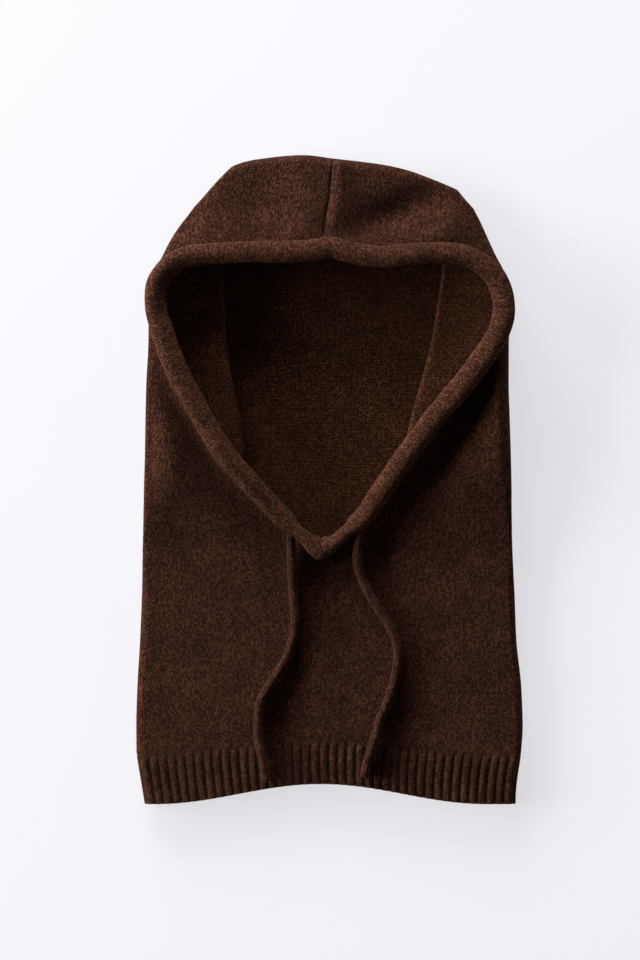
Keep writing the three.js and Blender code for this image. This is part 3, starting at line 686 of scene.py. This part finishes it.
# Camera above the hood, in metres, and its sensor in millimetres
CAMERA_HEIGHT = 2.6
VIEW_HEIGHT = 0.6912
VIEW_CENTRE = (-0.00684, 0.0)
SUBJECT_HEIGHT = 0.010
SENSOR = 36.0


class HOOD_OT_camera(bpy.types.Operator):
    """Adds the camera, straight above the hood."""

    bl_idname = "hood.camera"
    bl_label = "Camera"

    def execute(self, context):
        data = bpy.data.cameras.new("camera")
        data.sensor_width = SENSOR
        data.lens = SENSOR * (CAMERA_HEIGHT - SUBJECT_HEIGHT) / VIEW_HEIGHT
        camera = bpy.data.objects.new("camera", data)
        camera.location = (*VIEW_CENTRE, CAMERA_HEIGHT)
        context.scene.collection.objects.link(camera)
        context.scene.camera = camera
        return {"FINISHED"}


def tube_frames(line):
    """Sideways and upward directions along a line that lies nearly flat."""
    tangent = np.gradient(line, axis=0)
    tangent /= np.linalg.norm(tangent, axis=1)[:, None]
    sideways = np.cross(tangent, [0, 0, 1.0])
    sideways /= np.linalg.norm(sideways, axis=1)[:, None]
    return tangent, sideways, np.cross(sideways, tangent)


def knitted_cord(name, table, diameter, material, node, narrow):
    """A knitted tube cord: columns of stitches round it and a blunt sewn end."""
    line = even(curve(table), CORD_STEP)
    tangent, sideways, up = tube_frames(line)
    along = length_along(line)
    sides = CORD_SIDES
    angle = np.arange(sides) / sides * 2 * math.pi
    thickness = np.ones_like(along)
    for size, length, start in CORD_WAVES:
        thickness += size * np.sin(along / length + start)
    radius = diameter / 2 / MM * thickness
    radius *= mix(narrow, 1, smooth(*CORD_SWELL, along))
    to_end = np.clip((along[-1] - along) / CORD_END, 0, 1)
    radius *= np.sqrt(np.clip(1 - (1 - to_end) ** 2 * CORD_END_CUT, 0.05, 1))
    high, sunk = CORD_RELIEF
    around = radius[:, None] + high * np.abs(np.sin(angle[None, :] * CORD_COLUMNS / 2)) - sunk
    points = (line[:, None, :]
              + sideways[:, None, :] * (np.cos(angle)[None, :] * around)[:, :, None]
              + up[:, None, :] * (np.sin(angle)[None, :] * around)[:, :, None])
    rows = len(line)
    faces, corners_r, corners_i = grid_faces(rows, sides)
    uv = np.stack([corners_i / sides * CORD_COLUMNS * CORD_WALE,
                   along[np.minimum(corners_r, rows - 1)]], axis=2)
    all_points = [*points.reshape(-1, 3), line[0], line[-1] + tangent[-1] * 0.5]
    faces = faces.tolist()
    uv = uv.reshape(-1, 2).tolist()
    first, last = rows * sides, rows * sides + 1
    for i in range(sides):
        j = (i + 1) % sides
        faces.append([j, i, first])
        faces.append([(rows - 1) * sides + i, (rows - 1) * sides + j, last])
        uv += [[i, 0], [i + 1, 0], [i, -3],
               [i, along[-1]], [i + 1, along[-1]], [i, along[-1] + 3]]
    cord = piece_from(name, all_points, faces, uv)
    outward(cord)
    finish_piece(cord, node, [material])
    return cord, line, along[-1]


class HOOD_OT_drawcord(bpy.types.Operator):
    """Adds the two free ends of the drawcord and the stretch inside the casing."""

    bl_idname = "hood.drawcord"
    bl_label = "Drawcord"

    def execute(self, context):
        sizes = context.scene.hood_sizes
        # Knitted tube of the same wool, whose stitches catch more light round its sides
        material = wool("lambswool_tube_cord", "#180602", "#513224", 1.7 * MM, 1.4 * MM, 1.0)
        for name, table, node, narrow in [
            ("cord_left", LEFT_CORD, "drawcord_left", 0.86),
            ("cord_right", RIGHT_CORD, "drawcord_right", 0.94),
        ]:
            cord, line, length = knitted_cord(name, table, sizes.cord, material, node, narrow)
        along = length_along(RIM_LINE)
        hidden = RIM_LINE[(along > LEFT_EXIT + EXIT_ROOM)
                          & (along < along[-1] - RIGHT_EXIT - EXIT_ROOM)]
        knitted_cord("cord_in_casing", hidden, sizes.cord - CORD_EASE, material,
                     "drawcord_in_casing", 1.0)
        return {"FINISHED"}


def hood_rows():
    """Rows of the sections, close together, as columns of numbers: body first, then crown."""
    first, last = SECTIONS[0, 0], SECTIONS[-1, 0]
    stations = np.linspace(first, last, int(round((last - first) / GRID)) + 1)
    values = through(SECTIONS[:, 0], SECTIONS[:, 1:], stations)
    body = {name: values[:, i - 1:i] for i, name in enumerate(COLUMNS) if i}
    body["y"] = stations[:, None]
    rise = np.linspace(0, CROWN_ROUND, RISE_STEPS + 1)[1:]
    turn = np.linspace(0, math.pi / 2, CROWN_STEPS + 1)[1:]
    share = np.concatenate([rise, CROWN_ROUND + (1 - CROWN_ROUND) * np.sin(turn)])[:, None]
    closing = np.concatenate([np.ones_like(rise), np.cos(turn)])[:, None]
    base = dict(zip(COLUMNS, SECTIONS[-1]))
    crown = {name: np.full_like(share, base[name]) for name in COLUMNS}
    for name, top in CROWN_TOP.items():
        crown[name] = mix(base[name], top, share)
    crown["rise"] = CROWN_RISE * share
    crown["tuck"] = base["tuck"] * (1 - smooth(0, 0.6, share))
    crown["step"] = base["step"] * (1 - share)
    return body, crown, closing


class HOOD_OT_knit_shell(bpy.types.Operator):
    """Adds the hood's knitted body with its tucks, crown and seam."""

    bl_idname = "hood.knit_shell"
    bl_label = "Knit body"

    def execute(self, context):
        wall = context.scene.hood_sizes.wall / MM
        body, crown, closing = hood_rows()
        low = {name: column[body["y"][:, 0] < 0] for name, column in body.items()}
        high = {name: column[body["y"][:, 0] >= 0] for name, column in body.items()}
        rings = [
            section_rings(low, hem_arch, 1.0, wall, GRID),
            section_rings(high, crown_arch, 1.0, wall, GRID),
            section_rings(crown, crown_arch, closing, wall, GRID),
        ]
        x, y, z, distance, near = (np.vstack([ring[k] for ring in rings]) for k in range(5))
        counts = rings[0][5]
        wales_front, wales_back = knit_places(x, y, z, counts)
        rise = np.sqrt(np.diff(y, axis=0) ** 2 + np.diff(z, axis=0) ** 2)
        courses = y[:1] + np.vstack([np.zeros_like(y[:1]), np.cumsum(rise, axis=0)])
        snap = (distance < RIM_SNAP) & (distance > -GRID * RIM_CUT)
        x = np.where(snap, RIM_LINE[near, 0], x)
        y = np.where(snap, RIM_LINE[near, 1], y)
        gone = distance <= -GRID * RIM_CUT
        rows, count = x.shape
        faces, corners_r, corners_i = grid_faces(rows, count)
        back, fold, front = counts
        middle_right = back - 1 + fold // 2
        middle_left = back - 1 + fold - 1 + front - 1 + fold // 2
        from_front = (corners_i[:, 0] >= middle_right) & (corners_i[:, 0] < middle_left)
        wrapped = corners_i % count
        wales = np.where(from_front[:, None], wales_front[corners_r, wrapped],
                         wales_back[corners_r, wrapped])
        uv = np.stack([wales, courses[corners_r, wrapped]], axis=2)
        keep = ~gone.ravel()[faces].any(axis=1)
        shell = piece_from("knit_shell", np.stack([x, y, z], axis=2).reshape(-1, 3),
                           faces[keep].tolist(), uv[keep].reshape(-1, 2))
        outward(shell, merge=0.02 * MM)
        loose = bmesh.new()
        loose.from_mesh(shell.data)
        bmesh.ops.delete(loose, geom=[v for v in loose.verts if not v.link_faces], context="VERTS")
        loose.to_mesh(shell.data)
        loose.free()
        solidify = shell.modifiers.new("Fabric", "SOLIDIFY")
        solidify.thickness = wall * MM
        solidify.offset = 0.0
        solidify.use_quality_normals = True
        solidify.material_offset = 1
        solidify.material_offset_rim = 0
        # Knit side out: columns of Vs, brushed so that only their grain shows
        outside = wool("brushed_lambswool_jersey", "#1b0602", "#5f3a28", 1.8 * MM, 1.35 * MM, 1.2,
                       streak=1.3)
        # Purl side in: rows of small bars
        inside = wool("brushed_lambswool_purl", "#1c0c05", "#5c3722", 1.8 * MM, 1.35 * MM, 0.8,
                      purl=True, streak=1.3)
        finish_piece(shell, "hood_shell", [outside, inside])
        only(shell)
        bpy.ops.object.modifier_apply(modifier="Fabric")
        bpy.ops.object.shade_smooth_by_angle(angle=SMOOTH_ANGLE)
        return {"FINISHED"}


def casing_rings(uneven, half_height, sides, step):
    """Rings round the casing, which lean to the middle plane of the V near its tip."""
    line = even(curve(RIM), step)[:-1]
    full = np.vstack([line, RIM[-1]])
    along = length_along(full)
    tangent = np.gradient(full, axis=0)
    tangent[0] = full[1] - full[0]
    tangent[-1] = full[-1] - full[-2]
    tangent /= np.linalg.norm(tangent, axis=1)[:, None]
    half_angle = math.acos(np.clip(np.dot(tangent[0], -tangent[-1]), -1, 1)) / 2
    tangent, from_start = tangent[:-1], along[:-1]
    out = np.stack([tangent[:, 1], -tangent[:, 0], np.zeros(len(line))], axis=1)
    out /= np.linalg.norm(out, axis=1)[:, None]
    up = np.cross(out, tangent)
    up *= np.where(up[:, 2] < 0, -1, 1)[:, None]
    from_tip = np.minimum(from_start, along[-1] - from_start)
    lean = np.maximum(1 - from_tip / TIP_LEAN_LENGTH, 0) / math.tan(half_angle)
    towards = tangent * (lean * np.where(from_start < along[-1] / 2, 1, -1))[:, None]
    angle = np.arange(sides) / sides * 2 * math.pi
    half_width = through(CASING_WIDTHS[:, 0], CASING_WIDTHS[:, 1:], from_tip)[:, 0] / 2 * uneven
    sideways = np.cos(angle)[None, :] * half_width[:, None]
    shapes = through(CASING_SHAPES[:, 0], CASING_SHAPES[:, 1:], from_start / along[-1])
    lean, square, tall = shapes.T[:, :, None]
    upper, lower = np.maximum(np.sin(angle), 0), np.minimum(np.sin(angle), 0)
    arch = upper ** square * tall
    upward = (arch + lower) * half_height[:, None] - lean * upper * sideways
    points = (line[:, None, :] + (out + towards)[:, None, :] * sideways[:, :, None]
              + up[:, None, :] * upward[:, :, None])
    return points, from_start, along[-1]


class HOOD_OT_face_casing(bpy.types.Operator):
    """Adds the rolled casing round the face."""

    bl_idname = "hood.face_casing"
    bl_label = "Face casing"

    def execute(self, context):
        sizes = context.scene.hood_sizes
        height = sizes.casing_height / MM
        rings = len(even(curve(RIM), CASING_STEP)) - 1
        place = np.arange(rings) / rings * 2 * math.pi
        uneven = np.ones(rings)
        for size, waves, start in CASING_WAVES:
            uneven += size * np.sin(place * waves + start)
        points, along, total = casing_rings(uneven, height / 2 * uneven, CASING_SIDES, CASING_STEP)
        faces, corners_r, corners_i = grid_faces(len(points), CASING_SIDES, closed_rows=True)
        distance = np.append(along, total)[corners_r]
        around = corners_i / CASING_SIDES * math.pi * (CASING_WIDTH + height) / 2
        casing = piece_from("face_casing_knit", points.reshape(-1, 3), faces.tolist(),
                            np.stack([distance, around], axis=2).reshape(-1, 2))
        outward(casing)
        # The same wool turned sideways: its stitch columns run across the roll. Its light tone is
        # paler than the body's, which is painted light for the brightness the roll catches.
        material = wool("lambswool_rolled_casing", "#1b0602", "#764a34", 1.75 * MM, 1.35 * MM, 1.4,
                        sheen=0.13)
        finish_piece(casing, "face_casing", [material])
        return {"FINISHED"}


class HOOD_OT_hem_rib(bpy.types.Operator):
    """Adds the ribbed band at the hem."""

    bl_idname = "hood.hem_rib"
    bl_label = "Hem rib"

    def execute(self, context):
        sizes = context.scene.hood_sizes
        wall = sizes.wall / MM
        stations = np.linspace(RIB_ROWS[0, 0], RIB_ROWS[-1, 0], RIB_STATIONS)
        values = through(RIB_ROWS[:, 0], RIB_ROWS[:, 1:], stations)
        base = dict(zip(COLUMNS, SECTIONS[0]))
        row = {name: np.full((len(stations), 1), base[name]) for name in COLUMNS}
        row["y"] = stations[:, None]
        for i, name in enumerate(["rise", "left", "right", "front"]):
            row[name] = values[:, i:i + 1]
        x, y, z, _, _, _ = section_rings(row, hem_arch, 1.0, wall, RIB_GRID)
        count = sizes.rib_count * STEPS_PER_RIB
        phase = np.arange(count) / STEPS_PER_RIB * 2 * math.pi
        sharp, wide = RIB_PROFILE
        profile = np.tanh(sharp * np.cos(phase) + wide) * 0.5
        rows = len(stations)
        points = np.zeros((rows, count, 3))
        arcs = np.zeros((rows, count))
        for r in range(rows):
            ring = np.stack([x[r], y[r], z[r]], axis=1)
            closed = np.vstack([ring, ring[:1]])
            along = length_along(closed)
            places = np.arange(count) / count * along[-1]
            point = np.stack([np.interp(places, along, closed[:, k]) for k in range(3)], axis=1)
            tangent = np.roll(point, -1, axis=0) - np.roll(point, 1, axis=0)
            out = np.stack([tangent[:, 2], np.zeros(count), -tangent[:, 0]], axis=1)
            out /= np.linalg.norm(out, axis=1)[:, None]
            shown = smooth(0, RIB_RISE, stations[0] - stations[r])
            points[r] = point + out * (profile * sizes.rib_relief / MM * shown)[:, None]
            arcs[r] = places
        points[:, :, 2] += RIB_LIFT
        faces, corners_r, corners_i = grid_faces(rows, count)
        lengths = arcs[:, 1]
        wales = corners_i * lengths[corners_r]
        uv = np.stack([wales, stations[corners_r]], axis=2)
        rib = piece_from("hem_rib_knit", points.reshape(-1, 3), faces.tolist(), uv.reshape(-1, 2))
        outward(rib)
        solidify = rib.modifiers.new("Fabric", "SOLIDIFY")
        solidify.thickness = (wall - RIB_THINNER) * MM
        solidify.offset = 0.0
        # Two by two rib: pairs of stitch columns stand up, and the pairs between them sink
        material = wool("lambswool_two_by_two_rib", "#160502", "#603c2b", 1.55 * MM, 1.35 * MM, 1.2)
        finish_piece(rib, "hem_rib", [material])
        only(rib)
        bpy.ops.object.modifier_apply(modifier="Fabric")
        bpy.ops.object.shade_smooth_by_angle(angle=SMOOTH_ANGLE)
        for vertex in rib.data.vertices:
            vertex.co.z = max(vertex.co.z, 0)
        return {"FINISHED"}


# Windows: name, place, width and power, all of one height, and the light of the room
WINDOWS = [
    ("left_window", (-3.4, 0.5, 0.85), 2.8, 310),
    ("right_window", (3.4, 0.5, 0.8), 2.0, 26),
    ("top_window", (-1.2, 3.1, 0.75), 2.8, 285),
]
WINDOW_HEIGHT = 1.1
ROOM_LIGHT = 0.06

# Floor: size, scale of its faint clouds, range of its tone, and light from below
FLOOR_SIZE = 6
FLOOR_CLOUDS = 3.0
FLOOR_TONES = (0.25, 0.26)
FLOOR_GLOW = 0.75


class HOOD_OT_stage(bpy.types.Operator):
    """Adds the floor and the soft studio light."""

    bl_idname = "hood.stage"
    bl_label = "Stage"

    def execute(self, context):
        colours = context.scene.hood_colours
        bpy.ops.object.select_all(action="DESELECT")
        bpy.ops.mesh.primitive_plane_add(size=FLOOR_SIZE, location=(0, 0, 0))
        floor = context.active_object
        floor.name = "floor"
        # Opal acrylic, lit from below: an even, pale and slightly cool white with faint shadows
        board = bpy.data.materials.new("opal_acrylic_light_table")
        board.use_nodes = True
        tree = board.node_tree
        tree.nodes.clear()
        place = add(tree, "ShaderNodeTexCoord").outputs["Object"]
        clouds = add(tree, "ShaderNodeTexNoise", {
            "Vector": place, "Scale": FLOOR_CLOUDS, "Detail": 2.0})
        tone = add(tree, "ShaderNodeMapRange", {
            0: clouds.outputs[0], 1: 0.3, 2: 0.7, 3: FLOOR_TONES[0], 4: FLOOR_TONES[1]})
        colour = add(tree, "ShaderNodeVectorMath", {
            0: tuple(colours.floor), "Scale": tone.outputs[0]}, operation="SCALE")
        paint = add(tree, "ShaderNodeBsdfPrincipled", {
            "Base Color": colour.outputs[0], "Roughness": 0.9, "Specular IOR Level": 0.1,
            "Emission Color": (*colours.floor, 1), "Emission Strength": FLOOR_GLOW})
        add(tree, "ShaderNodeOutputMaterial", {"Surface": paint.outputs[0]})
        floor.data.materials.append(board)
        world = bpy.data.worlds.new("studio")
        world.use_nodes = True
        sky = world.node_tree
        sky.nodes.clear()
        air = add(sky, "ShaderNodeBackground", {0: (*colours.light, 1), 1: ROOM_LIGHT})
        add(sky, "ShaderNodeOutputWorld", {0: air.outputs[0]})
        context.scene.world = world
        for name, place, width, energy in WINDOWS:
            data = bpy.data.lights.new(name, "AREA")
            data.shape = "RECTANGLE"
            data.size = width
            data.size_y = WINDOW_HEIGHT
            data.energy = energy
            data.color = tuple(colours.light)
            lamp = bpy.data.objects.new(name, data)
            lamp.location = place
            away = np.array(place) / np.linalg.norm(place)
            lamp.rotation_euler = (math.acos(away[2]), 0,
                                   math.atan2(away[1], away[0]) + math.pi / 2)
            context.scene.collection.objects.link(lamp)
        context.scene.view_settings.view_transform = "Standard"
        return {"FINISHED"}


class HOOD_PT_panel(bpy.types.Panel):
    """Lists the hood's sizes and its steps."""

    bl_idname = "HOOD_PT_panel"
    bl_label = "Knit hood"
    bl_space_type = "VIEW_3D"
    bl_region_type = "UI"
    bl_category = "Knit hood"

    def draw(self, context):
        for group in (context.scene.hood_sizes, context.scene.hood_colours):
            for name in group.bl_rna.properties.keys():
                if name not in ("rna_type", "name"):
                    self.layout.prop(group, name)
        for step in STEPS:
            self.layout.operator(step.bl_idname)


GROUPS = [HoodSizes, HoodColours]
STEPS = [HOOD_OT_camera, HOOD_OT_drawcord, HOOD_OT_stage, HOOD_OT_knit_shell,
         HOOD_OT_face_casing, HOOD_OT_hem_rib]
CLASSES = [*GROUPS, *STEPS, HOOD_PT_panel]


def register():
    for kind in CLASSES:
        bpy.utils.register_class(kind)
    bpy.types.Scene.hood_sizes = bpy.props.PointerProperty(type=HoodSizes)
    bpy.types.Scene.hood_colours = bpy.props.PointerProperty(type=HoodColours)


def unregister():
    del bpy.types.Scene.hood_colours
    del bpy.types.Scene.hood_sizes
    for kind in reversed(CLASSES):
        bpy.utils.unregister_class(kind)


def main():
    register()
    bpy.ops.hood.camera()
    bpy.ops.hood.drawcord()
    bpy.ops.hood.stage()
    bpy.ops.hood.knit_shell()
    bpy.ops.hood.face_casing()
    bpy.ops.hood.hem_rib()


if __name__ == "__main__":
    main()
